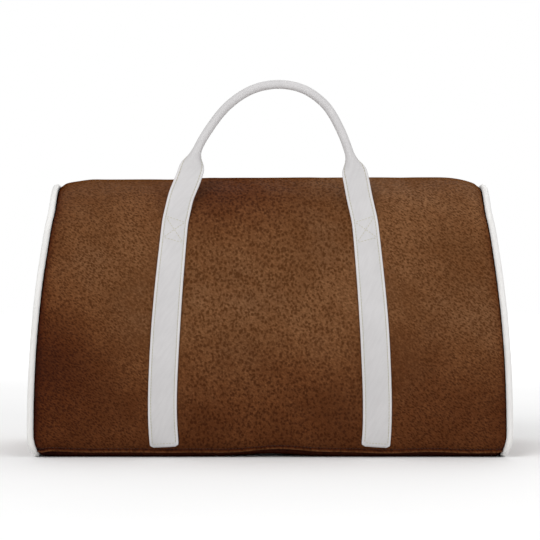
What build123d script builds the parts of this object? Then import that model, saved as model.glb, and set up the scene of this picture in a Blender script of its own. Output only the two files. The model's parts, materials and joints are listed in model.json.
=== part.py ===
"""Soft-sided weekender duffel bag with white trims, built up from its sewn pieces.

Millimetres. +X runs along the bag, -Y is the front, +Z is up. The origin is the middle of the underside.
Every sewn layer is a slice of one bar-shaped body at its own inset from the outer surface. The end seams
lie in planes that lean inward towards the top.
"""

import math
import os

from build123d import *

os.makedirs("parts", exist_ok=True)

# Body
HALF_LENGTH = 260.0  # from the middle to an end seam, at the floor
END_LEAN = 4.46  # degrees that each end seam leans inward
BASE_HALF_DEPTH = 113.0
BASE_CORNER = 20.0
TOP_Z = 312.0
WALL_TURN = 5.0  # degrees that the wall curves inward between its foot and the shoulder
SHOULDER_R = 72.0
WALL_R = (TOP_Z - BASE_CORNER - SHOULDER_R * (1 - math.sin(math.radians(WALL_TURN)))) / math.sin(
    math.radians(WALL_TURN)
)
BASE_SEAM_Z = 11.0
SEAM_GAP = 0.3
MOUTH_HALF = 12.0  # half the width of the slot that the zip closes

# Layers
LEATHER = 1.8
TAPE_INSET = 4.4
TAPE_THICK = 0.8
TAPE_HALF = 18.0
LINING_INSET = 3.6
LINING_THICK = 0.6
LINING_BACK = 2.0  # how far the lining stops short of the end seams
BOARD_THICK = 2.5
BOARD_MARGIN = 12.0

# Piping and end panels
PIPING_R = 3.75
CORD_R = 2.5
CORD_GAP = 0.15
PIPING_INSET = 2.0
PIPING_SHIFT = PIPING_R + 0.2  # bead centre, beyond the end seam
END_GAP = 0.45  # between the bead's middle line and the end panel's edge
END_INSET = PIPING_INSET + PIPING_R + END_GAP
END_SHIFT = 2.4
END_DOME = 8.0
DOME_SECTIONS = ((0.9, 0.42), (0.7, 0.8), (0.4, 1.0))  # shares of the edge's size and of the dome's height
END_LINING_SHIFT = -1.2

# Handle straps
STRAP_FOOT_WIDTH = 32.0
STRAP_FOLD_WIDTH = 28.5
STRAP_THICK = 2.6
STRAP_GAP = 0.3
STRAP_FOOT_X = 118.0
STRAP_FOLD_X = 104.5
STRAP_FOOT_Z = 13.0
STRAP_STRAIGHT_Z = 90.0
STRAP_FOOT_CORNER = 4.0

# Handles
FOLD_Z = 270.0
FOLD_OUT = 5.0  # the fold turns about a line this far outside the strap's middle
FOLD_GAP = 6.5  # half of the strap length that is left open at the fold
HALF_ARCH = ((STRAP_FOLD_X, 0.0), (91.5, 46.0), (84.5, 70.0), (66.0, 106.0), (39.0, 134.0))  # out, up
HANDLE_RISE = 146.0  # from the fold line to the middle of the grip's top
HANDLE_SIDEWAYS = 7.0  # the arch's top sits this far towards +X
FRONT_TILT = -6.0  # degrees from upright, over the bag
BACK_TILT = 172.0  # degrees from upright, hanging down behind the bag
GRIP_R = 5.5
GRIP_CORD_R = 3.6
GRIP_CORD_GAP = 0.2
ROLL_START = 44.0  # heights above the fold between which the strap rolls up into the grip
ROLL_END = 74.0
EDGE_ROUND = 0.46  # of the strap's thickness
LOOP_SECTIONS = 36

# Zip
TEETH_HALF_LENGTH = 206.0
TEETH_WIDTH = 3.2
TEETH_GAP = 0.4  # from the middle line to each row
TEETH_HEIGHT = 2.3
TEETH_ROUND = 0.7
ZIP_GAP = 0.05  # between pieces that lie on each other
STOP_LENGTH = 2.4
TAB_LENGTH = 25.0
TAB_THICK = 1.6
TAB_CORNER = 2.0
TAB_MARGIN = 1.0
SLIDER_X = 198.0
SLIDER_LENGTH = 15.0
SLIDER_WIDTH = 11.0
SLIDER_PLATE = 1.3
SLIDER_GAP = 0.2
SLIDER_CORNER = 3.0
SLIDER_BEVEL = 0.35
SLIDER_LIP = 0.9
LIP_LENGTH = 12.9
KEEL_LENGTH = 9.0
KEEL_HALF = 0.28
BAIL_HALF = 4.2
BAIL_WIDTH = 2.2
BAIL_THICK = 1.1
BAIL_ROUND = 1.4
BAIL_SINK = 0.1  # how far the bail's feet run into the slider's upper plate
PULL_LENGTH = 34.0
PULL_WIDTH = 8.0
PULL_THICK = 1.5
PULL_RAIL = 1.9
PULL_WINDOW = 6.4
PULL_HOLE_R = 2.0
PULL_TAIL = 4.5  # from the tail's end to the middle of the hole
PIN_GAP = 0.1

FAR = 400.0  # beyond everything
TAPE_TOP = TOP_Z - TAPE_INSET
TEETH_TOP = TAPE_TOP + TEETH_HEIGHT
END_PLANE_NORMAL = Vector(math.cos(math.radians(END_LEAN)), 0, math.sin(math.radians(END_LEAN)))


def outline(inset, floor=None):
    """The body's closed section, inset from the outer surface; floor overrides the base's height."""
    low = inset if floor is None else floor
    corner_r = BASE_CORNER - low
    with BuildSketch(Plane.YZ) as sketch:
        with BuildLine():
            base = Line((0, low), (BASE_HALF_DEPTH - inset - corner_r, low))
            corner = JernArc(base @ 1, base % 1, corner_r, 90)
            wall = JernArc(corner @ 1, corner % 1, WALL_R - inset, WALL_TURN)
            shoulder = JernArc(wall @ 1, wall % 1, SHOULDER_R - inset, 90 - WALL_TURN)
            Line(shoulder @ 1, (0, TOP_Z - inset))
            mirror(about=Plane.YZ)
        make_face()
    return sketch.sketch


def bar(inset, floor=None):
    """The section drawn out along X past both ends."""
    return extrude(outline(inset, floor), FAR, both=True)


def seam_plane(shift=0.0):
    """The plane of the right end seam, moved outward by shift."""
    origin = Vector(HALF_LENGTH, 0, 0) + END_PLANE_NORMAL * shift
    return Plane(origin=origin, x_dir=(0, 1, 0), z_dir=END_PLANE_NORMAL)


def trim_ends(shape, shift=0.0):
    """Cuts a shape off at both end planes, moved outward by shift."""
    beyond = seam_plane(shift) * Pos(0, 0, FAR / 2) * Box(2 * FAR, 2 * FAR, FAR)
    return shape - beyond - beyond.mirror(Plane.YZ)


def layer(inset, thickness, shift=0.0):
    """A tube of the body's shape, from inset inward, open at both ends."""
    return trim_ends(bar(inset) - bar(inset + thickness), shift)


def end_section(inset, floor, shift):
    """The body's section in the right end plane moved outward by shift."""
    plane = seam_plane(shift)
    cut = split(bar(inset, floor), bisect_by=plane, keep=Keep.BOTTOM)
    return cut.faces().sort_by(Axis(plane.origin, plane.z_dir))[-1]


def block(x0, x1, y0, y1, z0, z1):
    """An axis-aligned box from its corner coordinates."""
    return Pos((x0 + x1) / 2, (y0 + y1) / 2, (z0 + z1) / 2) * Box(x1 - x0, y1 - y0, z1 - z0)


def half_block(side, y0, y1, z0, z1):
    """A box over the bag's whole length, y0 to y1 from the middle: front for side -1, back for 1."""
    low, high = sorted((side * y0, side * y1))
    return block(-FAR, FAR, low, high, z0, z1)


def save(shape, name):
    """Writes one node's solids to its STEP file."""
    solids = shape.solids()
    kept = solids[0] if len(solids) == 1 else Compound(children=list(solids))
    export_step(kept, f"parts/{name}.step")
    print(name, len(solids))


def make_skin():
    """The leather front, back and base."""
    skin = layer(0.0, LEATHER)
    for side, word in ((-1, "front"), (1, "back")):
        save(skin & half_block(side, MOUTH_HALF, FAR, BASE_SEAM_Z, FAR), f"{word}_panel")
    save(skin & block(-FAR, FAR, -FAR, FAR, -1, BASE_SEAM_Z - SEAM_GAP), "base_panel")


def make_inside():
    """The stiffening board on the base, and the lining over it and up the two sides."""
    board_z = LEATHER + SEAM_GAP
    lining_z = board_z + BOARD_THICK + SEAM_GAP
    board_half = BASE_HALF_DEPTH - BASE_CORNER
    board = Box(2 * (HALF_LENGTH - BOARD_MARGIN), 2 * board_half, BOARD_THICK)
    board = fillet(board.edges().filter_by(Axis.Z), BOARD_MARGIN)
    save(Pos(0, 0, board_z + BOARD_THICK / 2) * board, "base_board")
    sheet = trim_ends(bar(LINING_INSET), -LINING_BACK)
    sheet = sheet & block(-FAR, FAR, -FAR, FAR, lining_z, lining_z + LINING_THICK)
    save(sheet, "base_lining")
    lining = layer(LINING_INSET, LINING_THICK, -LINING_BACK)
    start = lining_z + LINING_THICK + SEAM_GAP
    for side, word in ((-1, "front"), (1, "back")):
        save(lining & half_block(side, TAPE_HALF, FAR, start, FAR), f"{word}_lining")


def ring(profile):
    """A bead round the right end seam with the given cross-section."""
    whole = end_section(PIPING_INSET, PIPING_R, PIPING_SHIFT)
    half = whole & half_block(1, 0, FAR, -FAR, FAR)
    path = Wire([edge for edge in half.edges() if edge.center().Y > SEAM_GAP])
    arm = sweep(Plane(origin=path @ 0, z_dir=path % 0) * profile, path=path)
    butt = block(0, FAR, -SEAM_GAP, SEAM_GAP, -BASE_SEAM_Z, BASE_SEAM_Z)
    return arm + arm.mirror(Plane.XZ) - butt


def end_dome(shift):
    """The pillow shape of the right end panel, from its seamed edge to its middle."""
    edge = end_section(END_INSET, 2 * PIPING_R + END_GAP, shift)
    middle = edge.center()
    sections = [edge]
    for scale, lift in DOME_SECTIONS:
        away = middle * (1 - scale) + END_PLANE_NORMAL * (END_DOME * lift)
        sections.append(edge.scale(scale).translate(away))
    return loft(sections)


def make_ends():
    """Each end: the domed leather panel, its lining, and the piping with its filler cord."""
    cover = Circle(PIPING_R) - Circle(CORD_R + CORD_GAP)
    right = {
        "piping": ring(cover),
        "piping_cord": ring(Circle(CORD_R)),
        "end_panel": end_dome(END_SHIFT) - end_dome(END_SHIFT - LEATHER),
        "end_lining": extrude(end_section(LINING_INSET, 2 * LINING_INSET, END_LINING_SHIFT), LINING_THICK),
    }
    for name, shape in right.items():
        save(shape, f"right_{name}")
        save(shape.mirror(Plane.YZ), f"left_{name}")


def strap_outline():
    """The right strap seen from the front: straight at the foot, then curving in to the fold."""
    top = FOLD_Z - FOLD_GAP
    with BuildSketch(Plane.XZ) as sketch:
        with BuildLine():
            for hand in (-1, 1):
                foot_x = STRAP_FOOT_X + hand * STRAP_FOOT_WIDTH / 2
                fold_x = STRAP_FOLD_X + hand * STRAP_FOLD_WIDTH / 2
                foot = Line((foot_x, STRAP_FOOT_Z), (foot_x, STRAP_STRAIGHT_Z))
                TangentArc(foot @ 1, (fold_x, top), tangent=foot % 1)
            for z, x, width in (
                (STRAP_FOOT_Z, STRAP_FOOT_X, STRAP_FOOT_WIDTH),
                (top, STRAP_FOLD_X, STRAP_FOLD_WIDTH),
            ):
                Line((x - width / 2, z), (x + width / 2, z))
        make_face()
        fillet(sketch.vertices().sort_by(Axis.Y)[:2], STRAP_FOOT_CORNER)
    return sketch.sketch


def make_sewn_straps():
    """The four lengths of strap that are sewn flat to the front and back."""
    sheet = bar(-STRAP_GAP - STRAP_THICK) - bar(-STRAP_GAP)
    right = sheet & extrude(strap_outline(), FAR, both=True)
    for side, word in ((-1, "front"), (1, "back")):
        strap = right & half_block(side, MOUTH_HALF, FAR, 0, FAR)
        save(strap, f"{word}_right_strap")
        save(strap.mirror(Plane.YZ), f"{word}_left_strap")


def handle_path():
    """The middle line of an upright handle, from its left fold to its right one, in its own plane."""

    def sideways(height):
        return HANDLE_SIDEWAYS * (height / HANDLE_RISE) ** 1.5

    left = [(-x + sideways(z), 0, z) for x, z in HALF_ARCH]
    right = [(x + sideways(z), 0, z) for x, z in reversed(HALF_ARCH)]
    return Spline(*left, (HANDLE_SIDEWAYS, 0, HANDLE_RISE), *right)


def rolled_share(height):
    """How far the strap has rolled into the round grip at a height above the fold, from 0 to 1."""
    share = min(1.0, max(0.0, (height - ROLL_START) / (ROLL_END - ROLL_START)))
    return share * share * (3 - 2 * share)


def handle_loop(path):
    """The strap of one handle: two flat legs that roll up into a round grip."""
    foot = FOLD_GAP / path.length
    sections = []
    for i in range(LOOP_SECTIONS + 1):
        place = foot + (1 - 2 * foot) * i / LOOP_SECTIONS
        at, along = path @ place, path % place
        share = rolled_share(at.Z)
        width = STRAP_FOLD_WIDTH + (2 * GRIP_R - STRAP_FOLD_WIDTH) * share
        thick = STRAP_THICK + (2 * GRIP_R - STRAP_THICK) * share
        across = Vector(along.Z, 0, -along.X)
        plane = Plane(origin=at, x_dir=across, z_dir=along)
        sections.append(plane * RectangleRounded(width, thick, EDGE_ROUND * thick))
    return loft(sections)


def grip_cord(path, radius, start_z):
    """The round core inside the rolled grip, from one height over the arch to the same height."""
    steps = 200
    inside = [i / steps for i in range(steps + 1) if (path @ (i / steps)).Z > start_z]
    core = path.trim(inside[0], inside[-1])
    return sweep(Plane(origin=core @ 0, z_dir=core % 0) * Circle(radius), path=core)


def fold_line_y():
    """Depth of the fold lines: outside the strap's middle where the strap leaves the bag."""
    turn = math.radians(WALL_TURN)
    shoulder_y = BASE_HALF_DEPTH - WALL_R * (1 - math.cos(turn)) - SHOULDER_R * math.cos(turn)
    shoulder_z = TOP_Z - SHOULDER_R
    surface = shoulder_y + math.sqrt(SHOULDER_R**2 - (FOLD_Z - shoulder_z) ** 2)
    return surface + STRAP_GAP + STRAP_THICK / 2 + FOLD_OUT


def make_handles():
    """Front handle upright, back handle folded down behind the bag."""
    path = handle_path()
    loop = handle_loop(path) - grip_cord(path, GRIP_CORD_R + GRIP_CORD_GAP, ROLL_END)
    cord = grip_cord(path, GRIP_CORD_R, ROLL_END + 1)
    fold = fold_line_y()
    for side, word, tilt in ((-1, "front", FRONT_TILT), (1, "back", BACK_TILT)):
        hinge = Axis((0, side * fold, FOLD_Z), (1, 0, 0))
        for shape, name in ((loop, "handle"), (cord, "grip_cord")):
            upright = Pos(0, side * (fold - FOLD_OUT), FOLD_Z) * shape
            save(upright.rotate(hinge, -side * tilt), f"{word}_{name}")


def make_zip():
    """The zip's fixed pieces: two tapes, two rows of teeth, end stops and leather end tabs."""
    tapes = layer(TAPE_INSET, TAPE_THICK, -LINING_BACK)
    for side, word in ((-1, "front"), (1, "back")):
        save(tapes & half_block(side, TEETH_GAP, TAPE_HALF, TOP_Z / 2, FAR), f"{word}_zip_tape")
        y0, y1 = sorted((side * TEETH_GAP, side * (TEETH_GAP + TEETH_WIDTH)))
        row = block(-TEETH_HALF_LENGTH, TEETH_HALF_LENGTH, y0, y1, TAPE_TOP + ZIP_GAP, TEETH_TOP)
        row = fillet(row.edges().filter_by(Axis.X).sort_by(Axis.Z)[-2:], TEETH_ROUND)
        save(row, f"{word}_zip_teeth")
    near = TEETH_HALF_LENGTH + SEAM_GAP
    far = near + STOP_LENGTH
    width = TEETH_GAP + TEETH_WIDTH
    bridge = block(near, far, -width, width, TAPE_TOP + ZIP_GAP, TEETH_TOP)
    save(bridge - block(0, FAR, -TEETH_GAP, TEETH_GAP, 0, FAR), "zip_top_stops")
    save(bridge.mirror(Plane.YZ), "zip_bottom_stop")
    sheet = Box(TAB_LENGTH, 2 * (MOUTH_HALF - TAB_MARGIN), TAB_THICK)
    sheet = fillet(sheet.edges().filter_by(Axis.Z), TAB_CORNER)
    tab = Pos(far + TAB_MARGIN + TAB_LENGTH / 2, 0, TAPE_TOP + ZIP_GAP + TAB_THICK / 2) * sheet
    save(tab, "right_zip_tab")
    save(tab.mirror(Plane.YZ), "left_zip_tab")


def slider_body(lower, upper):
    """Two plates joined by a keel between the rows, with lips that hold the rows in."""
    plate = Box(SLIDER_LENGTH, SLIDER_WIDTH, SLIDER_PLATE)
    plate = fillet(plate.edges().filter_by(Axis.Z), SLIDER_CORNER)
    plate = chamfer(plate.edges().group_by(Axis.Z)[-1], SLIDER_BEVEL)
    middle = (upper + lower) / 2
    solid = Pos(0, 0, upper + SLIDER_PLATE / 2) * plate
    solid += Pos(0, 0, lower - SLIDER_PLATE / 2) * plate.mirror(Plane.XY)
    solid += Pos(0, 0, middle) * Box(KEEL_LENGTH, 2 * KEEL_HALF, upper - lower)
    lip_low = TAPE_TOP + SLIDER_GAP
    lip = Box(LIP_LENGTH, SLIDER_LIP, upper - lip_low)
    for side in (-1, 1):
        solid += Pos(0, side * (SLIDER_WIDTH - SLIDER_LIP) / 2, (upper + lip_low) / 2) * lip
    return solid


def slider_bail(deck, top):
    """The bridge along the slider's back that the pull's crossbar turns under."""
    foot = deck - BAIL_SINK
    solid = block(-BAIL_HALF, BAIL_HALF, -BAIL_WIDTH / 2, BAIL_WIDTH / 2, foot, top)
    solid = fillet(solid.edges().filter_by(Axis.Y).sort_by(Axis.Z)[-2:], BAIL_ROUND)
    room = BAIL_HALF - BAIL_THICK
    return solid - block(-room, room, -FAR, FAR, foot, top - BAIL_THICK)


def pull_tab():
    """A flat tab with a window behind its crossbar and a round hole at its tail, lying along -X."""
    bar_r = PULL_THICK / 2
    half = PULL_WIDTH / 2
    tab = block(-PULL_LENGTH, bar_r, -half, half, -bar_r, bar_r)
    tab = fillet(tab.edges().filter_by(Axis.Z).sort_by(Axis.X)[:2], half - ZIP_GAP)
    tab = fillet(tab.edges().filter_by(Axis.Y).sort_by(Axis.X)[-2:], bar_r - ZIP_GAP)
    window = block(-PULL_WINDOW, 0, PULL_RAIL - half, half - PULL_RAIL, -FAR, FAR)
    hole = Pos(PULL_TAIL - PULL_LENGTH, 0, 0) * Cylinder(PULL_HOLE_R, FAR)
    crossbar = Rot(90, 0, 0) * Cylinder(bar_r, PULL_WIDTH - PULL_RAIL)
    return tab - window - hole + crossbar


def make_slider():
    """The slider on the two rows, and the pull that hangs in its bail."""
    lower = TAPE_TOP - TAPE_THICK - SLIDER_GAP
    upper = TEETH_TOP + SLIDER_GAP
    deck = upper + SLIDER_PLATE
    pin_z = deck + PULL_THICK / 2 + PIN_GAP
    bail_top = pin_z + PULL_THICK / 2 + PIN_GAP + BAIL_THICK
    save(Pos(SLIDER_X, 0, 0) * (slider_body(lower, upper) + slider_bail(deck, bail_top)), "zip_slider")
    save(Pos(SLIDER_X, 0, pin_z) * pull_tab(), "zip_pull")
    print("pull pivot z", pin_z)


make_skin()
make_inside()
make_ends()
make_sewn_straps()
make_handles()
make_zip()
make_slider()
print("fold line y", fold_line_y())
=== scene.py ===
"""Looks of the duffel bag: leather skin, straps, piping, zip and stitching, built round the CAD frame.

Metres, +X along the bag, -Y out of the front, +Z up. The skin is one function of two coordinates: u runs
from one end seam (-1) to the other (1), and s is the distance along the section from the middle of the
base (0) to the mouth's edge. Straps, stitches, piping and lining all take their places from it.
"""

import json
import math

import bpy
import numpy as np
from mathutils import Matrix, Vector


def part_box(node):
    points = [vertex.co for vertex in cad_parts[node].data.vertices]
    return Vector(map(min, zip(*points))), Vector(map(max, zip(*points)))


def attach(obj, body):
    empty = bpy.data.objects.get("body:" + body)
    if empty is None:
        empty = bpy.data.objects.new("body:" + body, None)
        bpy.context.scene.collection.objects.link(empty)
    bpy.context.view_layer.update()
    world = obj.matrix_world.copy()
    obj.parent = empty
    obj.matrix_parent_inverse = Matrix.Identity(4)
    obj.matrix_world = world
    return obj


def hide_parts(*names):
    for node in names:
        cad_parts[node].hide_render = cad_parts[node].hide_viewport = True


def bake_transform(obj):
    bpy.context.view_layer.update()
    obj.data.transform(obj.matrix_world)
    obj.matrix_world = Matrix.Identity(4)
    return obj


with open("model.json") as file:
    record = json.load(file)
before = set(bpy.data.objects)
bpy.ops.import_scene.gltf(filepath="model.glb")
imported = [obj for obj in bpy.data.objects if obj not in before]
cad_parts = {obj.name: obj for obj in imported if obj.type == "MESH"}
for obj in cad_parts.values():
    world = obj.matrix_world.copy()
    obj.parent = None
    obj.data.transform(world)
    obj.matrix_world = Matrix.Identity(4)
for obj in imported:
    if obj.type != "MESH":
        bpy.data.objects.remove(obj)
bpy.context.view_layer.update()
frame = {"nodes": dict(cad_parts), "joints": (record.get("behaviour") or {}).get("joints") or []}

MM = 0.001
RANDOM = np.random.default_rng(7)

# Body, from the CAD nodes
PANEL_LOW, PANEL_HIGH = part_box("front_panel")
BASE_LOW, BASE_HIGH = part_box("base_panel")
TAPE_LOW, TAPE_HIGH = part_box("front_zip_tape")
TEETH_LOW, TEETH_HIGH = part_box("front_zip_teeth")
HALF_LENGTH = BASE_HIGH.x
HALF_DEPTH = -PANEL_LOW.y
TOP_Z = PANEL_HIGH.z
MOUTH_HALF = -PANEL_HIGH.y
SEAM_Z = PANEL_LOW.z
END_LEAN = math.radians(4.46)
BASE_CORNER = 20 * MM
WALL_TURN = math.radians(5)
SHOULDER_R = 72 * MM
LEATHER = 1.8 * MM

# Soft shape of the skin
WALL_BULGE = 6 * MM
CREST_RISE = 1.5 * MM
END_DROP = 8 * MM
LEFT_DROP = 2 * MM
MOUTH_DIP = 2.4 * MM
TOP_HALF_LENGTH = 241 * MM
BASE_ARCH = 3.3 * MM
SEAM_PINCH = 1.7 * MM
PINCH_REACH = 3.6 * MM
END_RIPPLE = 0.45 * MM
END_RIPPLE_REACH = 7 * MM
BASE_RIPPLE = 0.22 * MM
BASE_RIPPLE_REACH = 8 * MM

# End seams, seen from the front
SEAM_BOW = 6.6 * MM
BOW_HEIGHT = 275 * MM
SEAM_FLARE = 3 * MM
FLARE_START = 272 * MM
FLARE_HEIGHT = 40 * MM
FOOT_TUCK = 6 * MM
TUCK_HEIGHT = 26 * MM

# Turned hems at the base seam and the mouth
HEM_DROP = 5.6 * MM
BASE_RIDGE = 1.7 * MM
BASE_RIDGE_WIDTH = 2.2 * MM
BASE_STITCH = 4.5 * MM
SEAM_WAVE = 1.2 * MM
SEAM_SAG = 1.6 * MM
MOUTH_HEM = 0.5 * MM
MOUTH_HEM_WIDTH = 3 * MM
MOUTH_STITCH = 3.2 * MM

# Fold lines of the two handles
JOINTS = {joint["name"]: joint for joint in frame["joints"]}
FOLD = Vector(JOINTS["front_handle_fold"]["pos_m"])
FOLD_Y = -FOLD.y
FOLD_Z = FOLD.z
FOLD_OUT = 5 * MM
FOLD_ZONE = 16 * MM
HANDLE_TILT = math.radians(6)
BACK_TURN = math.radians(178)

# Straps and grip
STRAP_THICK = 2.6 * MM
FOOT_Z = 13 * MM
FOOT_X = 118 * MM
FOLD_X = 104.6 * MM
FOOT_INWARD = 3.2 * MM
FOOT_WIDTH = 31.8 * MM
FOLD_WIDTH = 28.7 * MM
ROLLED_WIDTH = 23.8 * MM
GRIP_CORE_R = 2.6 * MM
STITCH_IN = 3.1 * MM
ROLL_START = 43 * MM
ROLL_END = 75 * MM
ROLL_SHIFT = {"left": 4.5 * MM, "right": -2.5 * MM}  # how much higher each leg starts to roll up

PIPING_R = 3.6 * MM
PIPING_CORD_R = 2.4 * MM
PIPING_OUT = 3.95 * MM
PIPING_IN = 2.0 * MM


# ---------------------------------------------------------------- small helpers


def smooth(x):
    """Smooth step from 0 to 1 of x between 0 and 1."""
    x = np.clip(x, 0.0, 1.0)
    return x * x * (3 - 2 * x)


def unit(v):
    """v scaled to length 1 along its last axis."""
    return v / np.maximum(np.linalg.norm(v, axis=-1, keepdims=True), 1e-12)


def vec(*parts):
    """Stacks broadcast x, y, z arrays into points."""
    return np.stack(np.broadcast_arrays(*parts), axis=-1)


def grid_faces(rows, cols, wrap_rows=False, wrap_cols=False, flip=False):
    """Quads of a rows x cols grid of points, wrapped round where asked."""
    i = np.arange(rows if wrap_rows else rows - 1)
    j = np.arange(cols if wrap_cols else cols - 1)
    i, j = np.meshgrid(i, j, indexing="ij")
    up, right = (i + 1) % rows, (j + 1) % cols
    corners = (i * cols + j, i * cols + right, up * cols + right, up * cols + j)
    quads = np.stack(corners, -1).reshape(-1, 4)
    return quads[:, ::-1] if flip else quads


def piece(name, points, faces, material, body=None, surf=None, tone=None):
    """Makes a smooth mesh object.

    surf holds flat coordinates for the material; tone, from 0 to 1, darkens brown leather, mostly as
    painted shade, and pales the edges of the straps as a painted highlight."""
    if isinstance(faces, np.ndarray):
        faces = faces.tolist()
    mesh = bpy.data.meshes.new(name)
    mesh.from_pydata(points.reshape(-1, 3).tolist(), [], faces)
    mesh.polygons.foreach_set("use_smooth", [True] * len(mesh.polygons))
    if surf is None:
        surf = points
    layer = mesh.attributes.new("surf", "FLOAT_VECTOR", "POINT")
    layer.data.foreach_set("vector", surf.reshape(-1, 3).astype(np.float32).ravel())
    if tone is None:
        tone = np.zeros(len(mesh.vertices))
    layer = mesh.attributes.new("tone", "FLOAT", "POINT")
    layer.data.foreach_set("value", tone.astype(np.float32).ravel())
    mesh.materials.append(material)
    mesh.update()
    obj = bpy.data.objects.new(name, mesh)
    bpy.context.scene.collection.objects.link(obj)
    if body:
        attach(obj, body)
    return obj


def stand_in(obj, slot, *nodes):
    """Hides the CAD nodes that a piece stands for; the slot is not used."""
    if nodes:
        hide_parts(*nodes)


def thick_sheet(name, outer, inner, material, body, surf, tone):
    """A closed sheet between two grids of points, with its four rims."""
    rows, cols = outer.shape[:2]
    count = rows * cols
    faces = [grid_faces(rows, cols, flip=True), grid_faces(rows, cols) + count]
    index = np.arange(count).reshape(rows, cols)
    rims = [index[0, :], index[:, -1], index[-1, ::-1], index[::-1, 0]]
    for rim in rims:
        a, b = rim[:-1], rim[1:]
        faces.append(np.stack([a, b, b + count, a + count], -1))
    points = np.concatenate([outer.reshape(-1, 3), inner.reshape(-1, 3)])
    surf = np.concatenate([surf.reshape(-1, 3)] * 2)
    tone = np.concatenate([tone.ravel()] * 2)
    return piece(name, points, np.concatenate(faces), material, body, surf, tone)


def chain_frames(points, normals):
    """Unit directions along and across a chain of points, and its normals made square to it."""
    along = unit(np.gradient(points, axis=0))
    normals = unit(normals - along * np.sum(normals * along, axis=1, keepdims=True))
    return along, np.cross(along, normals), normals


def lengths(points):
    """Distance along a chain of points, from its start."""
    steps = np.linalg.norm(np.diff(points, axis=0), axis=1)
    return np.concatenate([[0.0], np.cumsum(steps)])


def at_lengths(points, where, values=None):
    """A chain's points, or values carried by them, at the given distances from its start."""
    values = points if values is None else values
    run = lengths(points)
    return np.stack([np.interp(where, run, values[:, k]) for k in range(values.shape[1])], -1)


def smooth_chain(points, passes):
    """A chain of points with its kinks evened out, its ends kept."""
    points = points.copy()
    for _ in range(passes):
        points[1:-1] = 0.5 * points[1:-1] + 0.25 * (points[:-2] + points[2:])
    return points


def hump(distance, reach):
    """A smooth bump, 1 where the distance is 0 and gone beyond about twice its reach."""
    return np.exp(-((distance / reach) ** 2))


def cubic(xs, ys, x):
    """Catmull-Rom curve through (xs, ys) at x."""
    slopes = np.gradient(ys, xs)
    k = np.clip(np.searchsorted(xs, x) - 1, 0, len(xs) - 2)
    h = xs[k + 1] - xs[k]
    t = (x - xs[k]) / h
    return (
        (2 * t**3 - 3 * t**2 + 1) * ys[k]
        + (t**3 - 2 * t**2 + t) * h * slopes[k]
        + (3 * t**2 - 2 * t**3) * ys[k + 1]
        + (t**3 - t**2) * h * slopes[k + 1]
    )


# ---------------------------------------------------------------- the skin


def section_outline():
    """The section's half outline as dense (y, z) points from the base's middle to the mouth's edge."""
    wall_r = (TOP_Z - BASE_CORNER - SHOULDER_R * (1 - math.sin(WALL_TURN))) / math.sin(WALL_TURN)
    flat = HALF_DEPTH - BASE_CORNER
    turn = np.linspace(0, 1, 200)
    corner = turn * math.pi / 2
    wall = turn * WALL_TURN
    shoulder = WALL_TURN + turn * (math.pi / 2 - WALL_TURN)
    wall_end = HALF_DEPTH - wall_r * (1 - math.cos(WALL_TURN))
    middle = (wall_end - SHOULDER_R * math.cos(WALL_TURN), TOP_Z - SHOULDER_R)
    stretches = [
        (turn * flat, 0 * turn),
        (flat + BASE_CORNER * np.sin(corner), BASE_CORNER * (1 - np.cos(corner))),
        (HALF_DEPTH - wall_r * (1 - np.cos(wall)), BASE_CORNER + wall_r * np.sin(wall)),
        (middle[0] + SHOULDER_R * np.cos(shoulder), middle[1] + SHOULDER_R * np.sin(shoulder)),
        (middle[0] + turn * (MOUTH_HALF - middle[0]), TOP_Z + 0 * turn),
    ]
    joined = [np.stack(stretch, -1)[1:] for stretch in stretches]
    return np.concatenate([[[0.0, 0.0]], *joined])


OUTLINE = section_outline()
OUTLINE_S = lengths(OUTLINE)
OUTLINE_TURN = np.unwrap(np.arctan2(np.gradient(OUTLINE[:, 1]), np.gradient(OUTLINE[:, 0])))
S_END = OUTLINE_S[-1]
WALL_POINTS = (OUTLINE[:, 1] > 1 * MM) & (OUTLINE[:, 1] < TOP_Z - 0.2 * MM)


def s_at_height(z):
    """The section coordinate of the wall or shoulder at height z."""
    return np.interp(z, OUTLINE[WALL_POINTS, 1], OUTLINE_S[WALL_POINTS])


S_SEAM = float(s_at_height(SEAM_Z))
S_HEM = S_SEAM - HEM_DROP


def seam_x(z):
    """Distance of the end seams from the middle at height z: leaning, bowed out, tucked in at the foot."""
    bow = SEAM_BOW * np.sin(np.pi * np.clip(z / BOW_HEIGHT, 0, 1))
    flare = SEAM_FLARE * np.clip((z - FLARE_START) / FLARE_HEIGHT, 0, 1) ** 2
    tuck = FOOT_TUCK * np.clip(1 - z / TUCK_HEIGHT, 0, 1) ** 2
    return HALF_LENGTH - math.tan(END_LEAN) * z + bow + flare - tuck


WAVES = [
    # (waves along u, waves along s, phase, height)
    (2.3, 1.4, 0.4, 0.55 * MM),
    (3.7, -2.2, 2.1, 0.45 * MM),
    (5.9, 1.1, 4.0, 0.30 * MM),
    (1.2, 3.4, 5.2, 0.45 * MM),
    (8.1, 3.9, 1.3, 0.16 * MM),
    (7.3, -6.4, 3.3, 0.14 * MM),
]
PUCKERS = [(RANDOM.uniform(420, 760), RANDOM.uniform(0, 6.28), RANDOM.uniform(0.5, 1)) for _ in range(5)]


def pucker(distance):
    """Uneven ripple along a seam, between about -1 and 1."""
    total = sum(size * np.sin(rate * distance + phase) for rate, phase, size in PUCKERS)
    return total / 2.2


def end_drop(x):
    """How far the top sinks towards the end seams, at distance x from the middle."""
    return END_DROP * np.clip((np.abs(x) / TOP_HALF_LENGTH - 0.8) / 0.2, 0, 1) ** 2.4


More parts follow.
